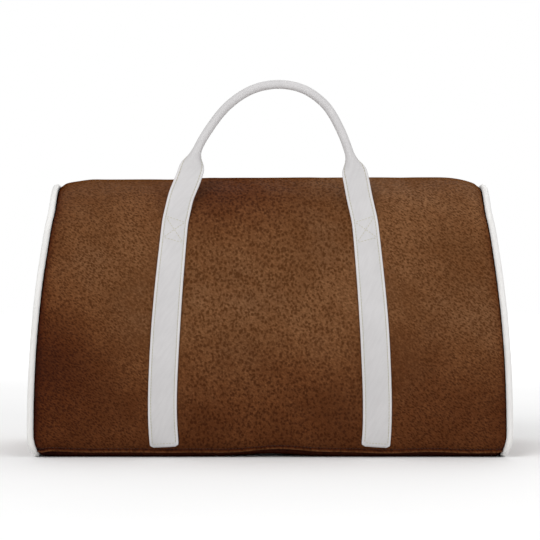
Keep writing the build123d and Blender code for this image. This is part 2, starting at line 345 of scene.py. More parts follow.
def soft_skin(u, s, side):
    """The skin without its simulated part: side is -1 on the front and 1 on the back."""
    y = np.interp(s, OUTLINE_S, OUTLINE[:, 0])
    z = np.interp(s, OUTLINE_S, OUTLINE[:, 1])
    turn = np.interp(s, OUTLINE_S, OUTLINE_TURN)
    normal_y, normal_z = np.sin(turn), -np.cos(turn)
    edge = np.abs(u)
    x_seam = seam_x(z)
    x = u * x_seam
    q = np.clip((s - S_SEAM) / (S_END - S_SEAM), 0, 1)
    from_end = (1 - edge) * x_seam
    from_base = q * (S_END - S_SEAM)
    out = WALL_BULGE * np.sin(np.pi * np.clip(q / 0.74, 0, 1)) * (1 - edge**3)
    out = out + CREST_RISE * hump(q - 0.93, 0.06) * (1 - edge**10)
    free = np.sin(np.pi * q) * (1 - edge**6)
    for along, up, phase, height in WAVES:
        out = out + free * height * np.sin(along * u * 3 + up * q * 3 + phase + 2.2 * side)
    end_ripple = END_RIPPLE * pucker(s + 0.3 * side) * np.exp(-from_end / END_RIPPLE_REACH)
    base_ripple = BASE_RIPPLE * pucker(x + 0.7 * side) * np.exp(-from_base / BASE_RIPPLE_REACH)
    out = out + end_ripple * np.sin(np.pi * q) ** 0.3 + base_ripple * (q > 0)
    out = out - SEAM_PINCH * hump(from_end, PINCH_REACH)
    y = y + normal_y * out
    z = z + normal_z * out
    topness = smooth((z - 240 * MM) / (70 * MM))
    left_share = smooth((-u - 0.25) / 0.25) * smooth((1.0 + u) / 0.1)
    z = z - (end_drop(edge * TOP_HALF_LENGTH) + LEFT_DROP * left_share) * topness
    z = z - MOUTH_DIP * smooth((q - 0.945) / 0.045)
    arch = hump(x, 40 * MM) * np.exp(-z / (20 * MM)) * smooth((y - 70 * MM) / (30 * MM))
    return vec(x, side * y, z + BASE_ARCH * arch)


SIM_COLS, SIM_ROWS = 97, 113
SIM_FRAMES = 24
SIM_CAP = 2.2 * MM
CLOTH = {
    "quality": 5,
    "mass": 0.5,
    "air_damping": 6,
    "tension_stiffness": 40,
    "compression_stiffness": 40,
    "shear_stiffness": 20,
    "bending_stiffness": 3,
    "vertex_group_mass": "held",
    "use_pressure": True,
    "uniform_pressure_force": 0.05,
    "shrink_min": -0.004,  # the leather is cut this share too large
}


def blurred(grid, passes):
    """A grid of vectors evened out, its border kept."""
    for _ in range(passes):
        grid = grid.copy()
        grid[1:-1] = 0.5 * grid[1:-1] + 0.25 * (grid[:-2] + grid[2:])
        grid[:, 1:-1] = 0.5 * grid[:, 1:-1] + 0.25 * (grid[:, :-2] + grid[:, 2:])
    return grid


def simulate_skin():
    """Lets slightly oversized leather settle as cloth, held at its seams, and returns its creases.

    Only the short waves are kept: the body's large shape is already in soft_skin."""
    u = np.linspace(-1, 1, SIM_COLS)
    run = np.linspace(-S_END, S_END, SIM_ROWS)
    u_grid, run_grid = np.meshgrid(u, run, indexing="ij")
    side = np.where(run_grid < 0, -1.0, 1.0)
    start = soft_skin(u_grid, np.abs(run_grid), side)
    faces = grid_faces(SIM_COLS, SIM_ROWS, flip=True)
    mesh = bpy.data.meshes.new("skin_cloth")
    mesh.from_pydata(start.reshape(-1, 3).tolist(), [], faces.tolist())
    cloth_obj = bpy.data.objects.new("skin_cloth", mesh)
    bpy.context.scene.collection.objects.link(cloth_obj)
    run = np.abs(run_grid)
    held = (np.abs(u_grid) > 0.999) | (run < S_SEAM + 2 * MM) | (run > S_END - 0.1 * MM)
    group = cloth_obj.vertex_groups.new(name="held")
    group.add(np.flatnonzero(held.ravel()).tolist(), 1.0, "REPLACE")
    cloth = cloth_obj.modifiers.new("cloth", "CLOTH")
    for key, value in CLOTH.items():
        setattr(cloth.settings, key, value)
    cloth.settings.effector_weights.gravity = 0.0
    cloth.point_cache.frame_start = 1
    cloth.point_cache.frame_end = SIM_FRAMES
    scene = bpy.context.scene
    for number in range(1, SIM_FRAMES + 1):
        scene.frame_set(number)
    ready = cloth_obj.evaluated_get(bpy.context.evaluated_depsgraph_get())
    end = np.zeros(len(mesh.vertices) * 3)
    ready.data.vertices.foreach_get("co", end)
    scene.frame_set(1)
    bpy.data.objects.remove(cloth_obj)
    moved = blurred(end.reshape(start.shape) - start, 1)
    wrinkles = moved - blurred(moved, 60)
    size = np.linalg.norm(wrinkles, axis=-1, keepdims=True)
    return wrinkles * SIM_CAP * np.tanh(size / SIM_CAP) / np.maximum(size, 1e-9)


SETTLED = simulate_skin()


def catmull_weights(t):
    """The four weights of a Catmull-Rom step at t between its middle points."""
    return [
        0.5 * (-t + 2 * t**2 - t**3),
        0.5 * (2 - 5 * t**2 + 3 * t**3),
        0.5 * (t + 4 * t**2 - 3 * t**3),
        0.5 * (-(t**2) + t**3),
    ]


def settled(u, s, side):
    """The simulated movement at any place on the skin."""
    a = (np.clip(u, -1, 1) + 1) / 2 * (SIM_COLS - 1)
    b = (side * s / S_END + 1) / 2 * (SIM_ROWS - 1)
    a, b = np.broadcast_arrays(a, b)
    i = np.clip(a.astype(int), 0, SIM_COLS - 2)
    j = np.clip(b.astype(int), 0, SIM_ROWS - 2)
    across, down = catmull_weights(a - i), catmull_weights(b - j)
    total = 0.0
    for k in range(4):
        row = np.clip(i + k - 1, 0, SIM_COLS - 1)
        for m in range(4):
            col = np.clip(j + m - 1, 0, SIM_ROWS - 1)
            total = total + (across[k] * down[m])[..., None] * SETTLED[row, col]
    return total


def skin(u, s, side):
    """A point of the leather's outer surface."""
    side = np.asarray(side, float)
    z = np.interp(s, OUTLINE_S, OUTLINE[:, 1])
    calm = 1 - 0.65 * smooth((z - 225 * MM) / (50 * MM))
    return soft_skin(u, s, side) + settled(u, s, side) * calm[..., None]


def skin_normal(u, s, side):
    """The skin's outward direction."""
    du, ds = 0.001, 0.2 * MM
    along = skin(np.clip(u + du, -1, 1), s, side) - skin(np.clip(u - du, -1, 1), s, side)
    high, low = np.minimum(s + ds, S_END), np.maximum(s - ds, 0)
    up = skin(u, high, side) - skin(u, low, side)
    return unit(np.cross(along, up) * (-np.asarray(side, float))[..., None])


def skin_at(x, s, side, lift=0.0):
    """The skin's point at distance x from the middle, raised by lift, and its normal."""
    z = np.interp(s, OUTLINE_S, OUTLINE[:, 1])
    u = x / seam_x(z)
    side = np.broadcast_to(np.asarray(side, float), np.shape(u))
    normal = skin_normal(u, s, side)
    return skin(u, s, side) + normal * lift, normal


# ---------------------------------------------------------------- materials


class Paint:
    """A material's node tree with short calls for the nodes used here."""

    def __init__(self, name):
        self.material = bpy.data.materials.new(name)
        self.material.use_nodes = True
        self.tree = self.material.node_tree
        self.tree.nodes.clear()
        self.out = self.tree.nodes.new("ShaderNodeOutputMaterial")
        self.shader = self.tree.nodes.new("ShaderNodeBsdfPrincipled")
        self.tree.links.new(self.shader.outputs[0], self.out.inputs["Surface"])

    def put(self, socket, value):
        """Sets or links an input."""
        if isinstance(value, bpy.types.NodeSocket):
            self.tree.links.new(value, socket)
        else:
            socket.default_value = value

    def node(self, kind, output=0, settings=None, **inputs):
        """Adds a node, fills its inputs by name and returns one output."""
        made = self.tree.nodes.new("ShaderNode" + kind)
        for key, value in (settings or {}).items():
            setattr(made, key, value)
        for key, value in inputs.items():
            self.put(made.inputs[key.replace("_", " ")], value)
        return made.outputs[output]

    def attribute(self, name, output):
        made = self.tree.nodes.new("ShaderNodeAttribute")
        made.attribute_name = name
        return made.outputs[output]

    def math(self, operation, a, b=0.0, c=0.0):
        made = self.tree.nodes.new("ShaderNodeMath")
        made.operation = operation
        for socket, value in zip(made.inputs, (a, b, c)):
            self.put(socket, value)
        return made.outputs[0]

    def times(self, a, b):
        return self.math("MULTIPLY", a, b)

    def plus(self, a, b):
        return self.math("ADD", a, b)

    def minus(self, a, b):
        return self.math("SUBTRACT", a, b)

    def scaled(self, coordinates, x, y, z, turn=0.0):
        """Coordinates turned about Z and then scaled; a scale below 1 makes features longer that way."""
        made = self.tree.nodes.new("ShaderNodeMapping")
        made.vector_type = "TEXTURE"
        self.put(made.inputs["Vector"], coordinates)
        made.inputs["Rotation"].default_value = (0, 0, turn)
        made.inputs["Scale"].default_value = (1 / x, 1 / y, 1 / z)
        return made.outputs[0]

    def noise(self, coordinates, scale, detail=3.0, rough=0.5):
        inputs = {"Vector": coordinates, "Scale": scale, "Detail": detail, "Roughness": rough}
        return self.node("TexNoise", 0, None, **inputs)

    def bands(self, coordinates, direction, scale, **inputs):
        settings = {"wave_type": "BANDS", "bands_direction": direction}
        return self.node("TexWave", 1, settings, Vector=coordinates, Scale=scale, **inputs)

    def ramp(self, value, low, high, to_low=0.0, to_high=1.0):
        """value mapped from low..high to to_low..to_high, held at both ends."""
        made = self.tree.nodes.new("ShaderNodeMapRange")
        made.interpolation_type = "SMOOTHSTEP"
        for socket, part in zip(made.inputs, (value, low, high, to_low, to_high)):
            self.put(socket, part)
        return made.outputs[0]

    def mix(self, share, a, b, blend="MIX"):
        made = self.tree.nodes.new("ShaderNodeMix")
        made.data_type = "RGBA"
        made.blend_type = blend
        for socket, part in ((made.inputs[0], share), (made.inputs[6], a), (made.inputs[7], b)):
            if isinstance(part, tuple):
                part = (*part, 1.0)
            self.put(socket, part)
        return made.outputs[2]

    def bump(self, height, distance, strength):
        return self.node("Bump", 0, None, Strength=strength, Distance=distance, Height=height)

    def finish(self, color, rough, normal=None, metal=0.0, specular=0.5, sheen=0.0):
        """Connects the surface's colour, roughness and bump."""
        inputs = {
            "Base Color": color,
            "Roughness": rough,
            "Metallic": metal,
            "Specular IOR Level": specular,
            "Sheen Weight": sheen,
        }
        if normal is not None:
            inputs["Normal"] = normal
        for key, value in inputs.items():
            self.put(self.shader.inputs[key], value)
        return self.material


COARSE_FLECK = 3.8 * MM
FINE_FLECK = 2.1 * MM
PEBBLE = 2.6 * MM
GRAIN_TURN = -0.95  # the fine grain slants down to the right


def warped(paint, flat, scale, amount):
    """Coordinates pushed about by noise, so that cells and bands lose their straight edges."""
    wander = paint.node("TexNoise", 1, None, Vector=flat, Scale=scale, Detail=2.0)
    push = paint.tree.nodes.new("ShaderNodeVectorMath")
    push.operation = "MULTIPLY_ADD"
    paint.put(push.inputs[0], wander)
    push.inputs[1].default_value = (amount, amount, amount)
    paint.put(push.inputs[2], flat)
    return push.outputs[0]


def creases(paint, flat, cell, width, turn, stretch=1.0):
    """1 in the creases between pebbles of the given size, 0 on the pebbles."""
    place = paint.scaled(warped(paint, flat, 0.4 / cell, 1.1 * cell), 1.0, stretch, 1.0, turn)
    edge = paint.node("TexVoronoi", 0, {"feature": "DISTANCE_TO_EDGE"}, Vector=place, Scale=1 / cell)
    return paint.ramp(edge, 0.0, width, 1.0, 0.0)


def flecks_of(paint, flat, cell, turn, stretch):
    """1 in soft uneven flecks about a cell apart, 0 between them."""
    place = paint.scaled(warped(paint, flat, 0.5 / cell, 0.6 * cell), 1.0, stretch, 1.0, turn)
    near = paint.node("TexVoronoi", 0, {"feature": "F1"}, Vector=place, Scale=1 / cell, Randomness=0.9)
    speckle = paint.noise(place, 1.9 / cell, 2.0)
    return paint.ramp(paint.math("MULTIPLY_ADD", near, -0.7, speckle), -0.02, 0.42)


def brown_leather(name):
    """Pull-up brown leather: cloudy colour, dark flecks and fine grain, with painted shade darkening it at
    the seams.

    Flecks are coarse in the middle of the bag and fine, slanting and close towards its ends. The tone
    attribute, which carries painted shade, darkens the leather; the darker it gets, the deeper its colour."""
    paint = Paint(name)
    flat = paint.attribute("surf", 1)
    tone = paint.attribute("tone", 2)
    coarse = flecks_of(paint, flat, COARSE_FLECK, -0.2, 0.85)
    fine = flecks_of(paint, flat, FINE_FLECK, GRAIN_TURN, 0.5)
    lines = creases(paint, flat, PEBBLE, 0.3, GRAIN_TURN, 0.45)
    across = paint.math("ABSOLUTE", paint.node("SeparateXYZ", 0, None, Vector=flat))
    wander = paint.math("MULTIPLY_ADD", paint.noise(flat, 9.0, 2.0), 0.22, across)
    middle = paint.ramp(wander, 0.19, 0.27, 1.0, 0.0)
    coarse = paint.times(coarse, paint.math("MULTIPLY_ADD", middle, 0.7, 0.3))
    fine = paint.times(fine, paint.math("MULTIPLY_ADD", middle, -0.55, 1.0))
    flecks = paint.math("MAXIMUM", coarse, fine)
    clouds = paint.ramp(paint.noise(flat, 9.0, 3.0, 0.5), 0.36, 0.64)
    patches = paint.ramp(paint.noise(paint.scaled(flat, 1, 1.5, 1, 0.5), 34.0, 4.0, 0.62), 0.36, 0.66)
    haze = paint.ramp(paint.noise(flat, 14.0, 3.0, 0.6), 0.46, 0.72)
    color = paint.mix(clouds, (0.158, 0.066, 0.024), (0.224, 0.102, 0.042))
    for mask, share, shade in (
        (patches, 0.3, (0.135, 0.048, 0.015)),
        (haze, 0.3, (0.225, 0.118, 0.060)),
        (lines, 0.35, (0.080, 0.024, 0.005)),
        (flecks, 0.88, (0.062, 0.0200, 0.0036)),
    ):
        color = paint.mix(paint.times(mask, share), color, shade)
    # painted shade: the tone attribute darkens and deepens the colour
    kept = paint.minus(1.0, tone)
    green, blue = paint.math("POWER", kept, 1.65), paint.math("POWER", kept, 2.4)
    color = paint.mix(1.0, color, paint.node("CombineXYZ", 0, None, X=kept, Y=green, Z=blue), "MULTIPLY")
    dents = paint.plus(paint.times(flecks, 0.9), paint.times(lines, 0.5))
    height = paint.minus(paint.times(paint.noise(flat, 900.0, 3.0), 0.35), dents)
    rough = paint.plus(paint.ramp(patches, 0.0, 1.0, 0.5, 0.62), paint.times(dents, 0.1))
    grazing = paint.node("LayerWeight", 1, None, Blend=0.5)
    specular = paint.ramp(grazing, 0.35, 0.8, 0.06, 0.0)
    return paint.finish(color, rough, paint.bump(height, 0.2 * MM, 0.8), specular=specular)


def pale_leather(name, color, shade, cell=1.0 * MM, rough=0.5):
    """Fine-grained pale leather, with a painted highlight that makes it brighter where its edges are
    turned.
    """
    paint = Paint(name)
    flat = paint.attribute("surf", 1)
    tone = paint.attribute("tone", 2)
    crease = creases(paint, flat, cell, 0.35, 0.5, 0.8)
    streaks = paint.noise(paint.scaled(flat, 1.0, 6.0, 1.0, 0.5), 55.0, 3.0)
    clouds = paint.ramp(paint.noise(flat, 22.0, 3.0), 0.3, 0.7)
    tint = paint.mix(clouds, color, tuple(0.94 * part for part in color))
    tint = paint.mix(paint.ramp(streaks, 0.35, 0.7, 0.0, 0.2), tint, shade)
    tint = paint.mix(paint.times(crease, 0.1), tint, shade)
    # painted highlight: the tone pales the colour along the strap edges
    tint = paint.mix(paint.times(tone, 0.35), tint, tuple(min(0.9, 1.24 * part) for part in color))
    roughness = paint.ramp(paint.noise(flat, 90.0, 2.0), 0.3, 0.7, rough - 0.06, rough + 0.07)
    bump = paint.bump(paint.minus(0.0, crease), 0.04 * MM, 0.6)
    return paint.finish(tint, roughness, bump, specular=0.2)


def thread(name, color, dark, sheen=0.15):
    """Twisted sewing thread."""
    paint = Paint(name)
    flat = paint.attribute("surf", 1)
    twist = paint.bands(flat, "DIAGONAL", 950.0, Distortion=0.4)
    tint = paint.mix(paint.ramp(twist, 0.2, 0.8), dark, color)
    tint = paint.mix(paint.ramp(paint.noise(flat, 400.0), 0.4, 0.7, 0.0, 0.3), tint, dark)
    return paint.finish(tint, 0.62, paint.bump(twist, 0.05 * MM, 0.6), specular=0.3, sheen=sheen)


def woven(name, color, dark, pitch):
    """Plain weave: warp and weft bands of the given pitch."""
    paint = Paint(name)
    flat = paint.attribute("surf", 1)
    warp, weft = (paint.bands(flat, way, 0.314 / pitch, Distortion=0.3, Detail=1.0) for way in ("X", "Y"))
    weave = paint.plus(paint.times(warp, weft), paint.times(paint.noise(flat, 900.0), 0.25))
    tint = paint.mix(paint.ramp(weave, 0.15, 0.85), dark, color)
    tint = paint.mix(paint.ramp(paint.noise(flat, 30.0), 0.35, 0.7, 0.0, 0.35), tint, dark)
    return paint.finish(tint, 0.85, paint.bump(weave, 0.12 * MM, 0.8), specular=0.2, sheen=0.2)


def metal(name, color, rough):
    """Plated zip metal with fine scratches and darker smudges."""
    paint = Paint(name)
    place = paint.node("TexCoord", 3)
    scratches = paint.noise(paint.scaled(place, 1.0, 14.0, 14.0), 260.0, 4.0)
    smudge = paint.ramp(paint.noise(place, 140.0, 3.0), 0.35, 0.7)
    tint = paint.mix(paint.times(smudge, 0.4), color, tuple(0.55 * part for part in color))
    shine = paint.ramp(scratches, 0.3, 0.7, rough - 0.07, rough + 0.12)
    return paint.finish(tint, shine, paint.bump(scratches, 0.02 * MM, 0.5), metal=1.0)


def hidden_plastic(name, color):
    """Moulded board or foam cord inside the bag, with a fine stipple."""
    paint = Paint(name)
    place = paint.node("TexCoord", 3)
    stipple = paint.noise(place, 700.0, 2.0)
    clouds = paint.ramp(paint.noise(place, 40.0), 0.35, 0.65)
    tint = paint.mix(clouds, color, tuple(0.8 * part for part in color))
    return paint.finish(tint, paint.ramp(stipple, 0.3, 0.7, 0.6, 0.8), paint.bump(stipple, 0.05 * MM, 0.6))


BROWN = brown_leather("brown_leather")
STRAP = pale_leather("strap_leather", (0.590, 0.578, 0.580), (0.45, 0.435, 0.44))
PIPING = pale_leather("piping_leather", (0.80, 0.79, 0.775), (0.60, 0.59, 0.57), 0.8 * MM, 0.42)
THREAD = thread("pale_thread", (0.50, 0.475, 0.33), (0.36, 0.33, 0.20))
BROWN_THREAD = thread("brown_thread", (0.050, 0.019, 0.008), (0.02, 0.007, 0.003), 0.0)
TAPE_CLOTH = woven("zip_tape_cloth", (0.07, 0.035, 0.02), (0.02, 0.01, 0.006), 0.7 * MM)
LINING_CLOTH = woven("lining_cloth", (0.10, 0.085, 0.075), (0.04, 0.034, 0.03), 0.9 * MM)
NICKEL = metal("zip_nickel", (0.62, 0.60, 0.56), 0.28)
CORD = hidden_plastic("filler_cord", (0.75, 0.74, 0.70))
BOARD = hidden_plastic("base_board_plastic", (0.05, 0.05, 0.055))


# ---------------------------------------------------------------- stitches

STITCH_RINGS = [
    # (place along the stitch, size, rise), as shares of its length and radius
    (-0.5, 0.35, -0.5),
    (-0.36, 0.85, -0.05),
    (0.0, 1.0, 0.25),
    (0.36, 0.85, -0.05),
    (0.5, 0.35, -0.5),
]


def stitch_mesh(centres, along, across, normals, length, radius):
    """Points and quads of many short thread loops, each sinking at its two ends."""
    sides = 6
    angles = np.arange(sides) * 2 * np.pi / sides
    rings = []
    for place, size, rise in STITCH_RINGS:
        for angle in angles:
            side_way = size * math.cos(angle)
            up = size * math.sin(angle) * 0.8 + rise
            rings.append((place * length, side_way * radius, up * radius))
    local = np.array(rings)
    points = (
        centres[:, None]
        + along[:, None] * local[None, :, 0:1]
        + across[:, None] * local[None, :, 1:2]
        + normals[:, None] * local[None, :, 2:3]
    )
    quads = grid_faces(len(STITCH_RINGS), sides, wrap_cols=True, flip=True)
    caps = np.array([[0, 1, 2, 3], [0, 3, 4, 5]])
    last = (len(STITCH_RINGS) - 1) * sides
    faces = np.concatenate([quads, caps, caps[:, ::-1] + last])
    offsets = np.arange(len(centres)) * len(local)
    return points, (faces[None] + offsets[:, None, None]).reshape(-1, 4)


def stitch_row(points, normals, pitch=3.6 * MM, length=2.9 * MM, radius=0.36 * MM):
    """Stitches laid along a chain of points."""
    total = lengths(points)[-1]
    count = max(2, int(round(total / pitch)))
    where = (np.arange(count) + 0.5) * total / count
    centres = at_lengths(points, where)
    normal = unit(at_lengths(points, where, normals))
    ahead = at_lengths(points, np.minimum(where + 0.5 * MM, total))
    behind = at_lengths(points, np.maximum(where - 0.5 * MM, 0))
    along = unit(ahead - behind)
    across = unit(np.cross(along, normal))
    return stitch_mesh(centres, along, across, normal, length, radius)


def merge(parts):
    """Joins (points, faces) pairs into one."""
    points, faces, start = [], [], 0
    for part_points, part_faces in parts:
        part_points = part_points.reshape(-1, 3)
        points.append(part_points)
        faces.append(part_faces + start)
        start += len(part_points)
    return np.concatenate(points), np.concatenate(faces)


# ---------------------------------------------------------------- leather panels


def side_rows():
    """Section coordinates of a side panel's rows, closer together at both edges."""
    fine = np.array([0, 0.4, 0.9, 1.5, 2.2, 3.0, 4.0, 5.2, 6.6]) * MM
    middle = np.linspace(S_HEM + 8.5 * MM, S_END - 8.5 * MM, 150)
    return np.concatenate([S_HEM + fine, middle, S_END - fine[::-1]])


def length_columns():
    """Values of u, closer together at both end seams."""
    t = np.linspace(-1, 1, 241)
    return np.sign(t) * (1 - (1 - np.abs(t)) ** 1.18)


def hem(distance, height, width):
    """A turned edge: rounded down at the very edge, proud over its turned width, then level."""
    proud = height * (1 - smooth((distance - width) / (1.6 * MM)))
    edge = np.clip(1 - distance / (1.4 * MM), 0, 1)
    return proud - 1.3 * MM * (1 - np.sqrt(np.maximum(0, 1 - edge**2)))


def seam_wave(u, side):
    """The base seam's uneven height along the bag, lower at both ends."""
    wave = np.sin(6.1 * u + 1.9 + side) + 0.7 * np.sin(11.3 * u + 0.4) + 0.5 * np.sin(19.0 * u - side)
    edge = 1 - np.abs(u)
    return SEAM_WAVE * wave * smooth(edge / 0.06) - SEAM_SAG * np.exp(-edge / 0.08)


def wavy(u, s, side):
    """A section coordinate moved by the base seam's waves, which fade out above it."""
    return s + seam_wave(u, side) * np.exp(-(s - S_HEM) / (20 * MM))


CLOUDS = [
    # (middle along the bag, middle's height, reach along, reach up, depth): soft darker patches; a negative
    # depth brightens, as the painted highlight on the top right does
    (-50 * MM, 296 * MM, 80 * MM, 42 * MM, 0.50),
    (-240 * MM, 108 * MM, 60 * MM, 66 * MM, 0.48),
    (25 * MM, 92 * MM, 34 * MM, 24 * MM, 0.10),
    (160 * MM, 110 * MM, 60 * MM, 50 * MM, 0.07),
    # painted highlight on the top right of the bag
    (180 * MM, 282 * MM, 70 * MM, 36 * MM, -0.10),
]


def skin_shade_and_patches(u, s):
    """Darkness of the leather: painted shade at the end seams, just above the base seam and towards the
    foot, and darker patches in a few clouds.
    """
    z = np.interp(s, OUTLINE_S, OUTLINE[:, 1])
    gap = (1 - np.abs(u)) * seam_x(z)
    rightness = smooth((u + 0.2) / 0.4)
    # painted shade: a dark line where the panel rolls in to the piping, and a wider fall-off near the end
    # seams, both lighter on the right
    seam_shade = (0.72 - 0.34 * rightness) * np.exp(-gap / (3.5 * MM))
    seam_edge_shade = (0.22 - 0.19 * rightness) * np.exp(-gap / (24 * MM))
    # painted shade towards the foot and just above the base seam
    foot_shade = 0.37 * (1 - smooth((z - 30 * MM) / (135 * MM)))
    base_seam_shade = 0.08 * np.exp(-np.maximum(z - SEAM_Z, 0) / (8 * MM))
    bright = (1 - seam_shade) * (1 - seam_edge_shade) * (1 - foot_shade) * (1 - base_seam_shade)
    for x_middle, z_middle, x_reach, z_reach, depth in CLOUDS:
        away = ((u * seam_x(z) - x_middle) / x_reach) ** 2 + ((z - z_middle) / z_reach) ** 2
        bright = bright * (1 - depth * np.exp(-away))
    return np.clip(1 - bright, -0.15, 0.96)


def side_panels():
    """The front and back leather, with turned hems along the base seam and the mouth."""
    u, level = np.meshgrid(length_columns(), side_rows(), indexing="ij")
    from_hem = level - S_HEM
    raise_hem = hem(from_hem, BASE_RIDGE, BASE_RIDGE_WIDTH) + hem(S_END - level, MOUTH_HEM, MOUTH_HEM_WIDTH)
    raise_hem = raise_hem - 0.5 * MM * hump(from_hem - BASE_STITCH, 0.9 * MM)
    # painted highlight along the base hem's ridge, and a painted shadow line just above it
    tone = skin_shade_and_patches(u, level) * (1 - 0.75 * hump(from_hem - 1.4 * MM, 1.1 * MM))
    tone = np.clip(tone + 0.35 * hump(from_hem - 3.6 * MM, 0.9 * MM), 0, 1)
    for side, word in ((-1.0, "front"), (1.0, "back")):
        sides = np.full(u.shape, side)
        s = wavy(u, level, side)
        normal = skin_normal(u, s, sides)
        outer = skin(u, s, sides) + normal * raise_hem[..., None]
        inner = outer - normal * LEATHER
        surf = vec(outer[..., 0], side * (s + 0.2), 0.0)
        if side > 0:
            outer, inner, surf, tones = outer[::-1], inner[::-1], surf[::-1], tone[::-1]
        else:
            tones = tone
        obj = thick_sheet(f"{word}_panel_skin", outer, inner, BROWN, "bag", surf, tones)
        stand_in(obj, "brown_leather", f"{word}_panel")


def base_skin():
    """The base leather, a tray whose edge runs up under the side panels' hems."""
    rim, flat = np.linspace(0.72, 1, 40), np.linspace(-0.7, 0.7, 46)
    run = np.concatenate([-rim[::-1], flat, rim])
    u, run = np.meshgrid(length_columns()[::-1], run * (S_HEM + 3 * MM), indexing="ij")
    side = np.where(run < 0, -1.0, 1.0)
    s = np.abs(run)
    normal = skin_normal(u, s, side)
    tuck = 2.1 * MM * smooth((s - S_HEM + 4.5 * MM) / (3.5 * MM))
    outer = skin(u, s, side) - normal * tuck[..., None]
    inner = outer - normal * LEATHER
    surf = vec(outer[..., 0], run, 0.3)
    # painted shade: the base band under the hems is darker by 0.35
    tone = np.clip(skin_shade_and_patches(u, s) + 0.35, 0, 0.9)
    obj = thick_sheet("base_panel_skin", outer, inner, BROWN, "bag", surf, tone)
    stand_in(obj, "brown_leather", "base_panel")


def hem_stitches():
    """Brown top-stitching along the base seam and both sides of the mouth."""
    x = np.linspace(-1, 1, 600)
    parts = []
    for side in (-1.0, 1.0):
        sides = np.full(600, side)
        for level, lift, reach in (
            (S_HEM + BASE_STITCH, -0.35 * MM, 0.992),
            (S_END - MOUTH_STITCH, 0.4 * MM, 0.985),
        ):
            u = x * reach
            s = wavy(u, level, side)
            normal = skin_normal(u, s, sides)
            parts.append(stitch_row(skin(u, s, sides) + normal * lift, normal))
    points, faces = merge(parts)
    stand_in(piece("hem_stitches", points, faces, BROWN_THREAD, "bag"), "brown_leather")


# ---------------------------------------------------------------- ends: piping and panels

def end_out(hand):
    """The outward direction of an end, square to its leaning seam."""
    return np.array([hand * math.cos(END_LEAN), 0.0, math.sin(END_LEAN)])


def band(count, first, second):
    """Quads between two closed rings of points, each given by the index of its first point."""
    ring = np.arange(count)
    following = (ring + 1) % count
    return np.stack([first + ring, first + following, second + following, second + ring], -1)


def cap_quads(around):
    """Quads that close a tube's first ring of points across its middle."""
    k = np.arange(1, around // 2)
    return np.stack([around - k, around - k - 1, k, k - 1], -1)


def end_loop(hand, inset, outward, count=420):
    """Closed loop round an end seam: inset from the skin and moved outward from the seam.

    Returns the points and the outward normals of the skin, starting at the middle of the base."""
    run = np.linspace(-S_END, S_END, count)
    side = np.where(run < 0, -1.0, 1.0)
    s = np.abs(run)
    u = np.full(count, hand * 0.985)
    normal = skin_normal(u, s, side)
    unpinched = soft_skin(np.full(count, hand), s, side) + normal * SEAM_PINCH
    keep = s > 0.2 * MM
    points, normal = unpinched[keep], normal[keep]
    out = end_out(hand)
    normal = unit(normal - out * (normal @ out)[:, None])
    points = points - normal * inset + out * outward
    half = len(points) // 2
    bridge = 8
    gap = np.linspace(0, 1, bridge + 2)[1:-1, None]
    top = points[-1] * (1 - gap) + points[0] * gap
    top_normal = np.repeat([[0.0, 0.0, 1.0]], bridge, axis=0)
    points = np.concatenate([points[half:], top, points[:half]])
    normal = np.concatenate([normal[half:], top_normal, normal[:half]])
    for _ in range(6):
        points = 0.5 * points + 0.25 * (np.roll(points, 1, 0) + np.roll(points, -1, 0))
        normal = 0.5 * normal + 0.25 * (np.roll(normal, 1, 0) + np.roll(normal, -1, 0))
    points[:, 2] = np.maximum(points[:, 2], PIPING_R - 0.1 * MM)
    return points, unit(normal)


def tube(name, points, normals, radius, material, body, closed):
    """A round tube along a chain of points; radius may change along it."""
    if closed:
        along = unit(np.roll(points, -1, 0) - np.roll(points, 1, 0))
    else:
        along = unit(np.gradient(points, axis=0))
    normals = unit(normals - along * np.sum(normals * along, 1, keepdims=True))
    across = np.cross(along, normals)
    sides = 20
    angle = np.arange(sides) * 2 * np.pi / sides
    size = np.broadcast_to(radius, len(points))
    ring = normals[:, None] * np.cos(angle)[None, :, None] + across[:, None] * np.sin(angle)[None, :, None]
    mesh_points = points[:, None] + ring * size[:, None, None]
    surf = vec(lengths(points)[:, None], 1.4 * size[:, None] * angle[None, :], points[0, 0])
    faces = grid_faces(len(points), sides, wrap_rows=closed, wrap_cols=True)
    if not closed:
        cap = cap_quads(sides)
        faces = np.concatenate([faces, cap, cap[:, ::-1] + (len(points) - 1) * sides])
    return piece(name, mesh_points, faces, material, body, surf)


def bead(name, hand, radius, material, node, slot, ripple=0.0):
    """A round bead along an end seam."""
    points, normals = end_loop(hand, PIPING_IN, PIPING_OUT)
    size = radius * (1 + ripple * pucker(np.arange(len(points)) * 2.4 * MM))
    obj = tube(name, points, normals, size, material, "bag", True)
    stand_in(obj, slot, node)


END_RINGS = 1 - np.concatenate([[0, 0.008, 0.018, 0.03, 0.045, 0.065, 0.09], np.linspace(0.12, 0.97, 30)])


